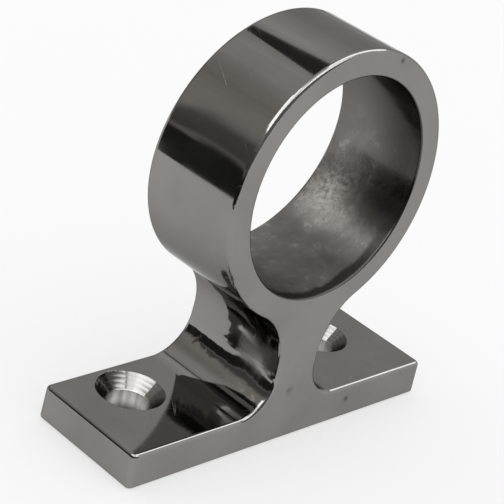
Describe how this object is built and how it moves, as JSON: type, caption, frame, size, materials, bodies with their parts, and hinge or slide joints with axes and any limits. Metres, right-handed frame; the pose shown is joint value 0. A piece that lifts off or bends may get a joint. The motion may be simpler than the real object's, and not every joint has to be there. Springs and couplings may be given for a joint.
{
  "type": "handrail bracket",
  "caption": "Through-rail handrail bracket in polished cast stainless steel: flat base plate with countersunk screw holes, waisted neck and a ring the rail slides through.",
  "frame": {"origin": "middle of the base plate's underside, which lies on z = 0", "axes": "+X along the base plate from one screw to the other, +Y along the rail, +Z from the base plate up to the ring"},
  "size_m": [0.0466, 0.0154, 0.0469],
  "materials": {
    "polished_steel": "mirror-polished cast stainless steel, satin inside the bore"
  },
  "bodies": {
    "root": {"rail_bracket": "polished_steel"}
  },
  "joints": []
}
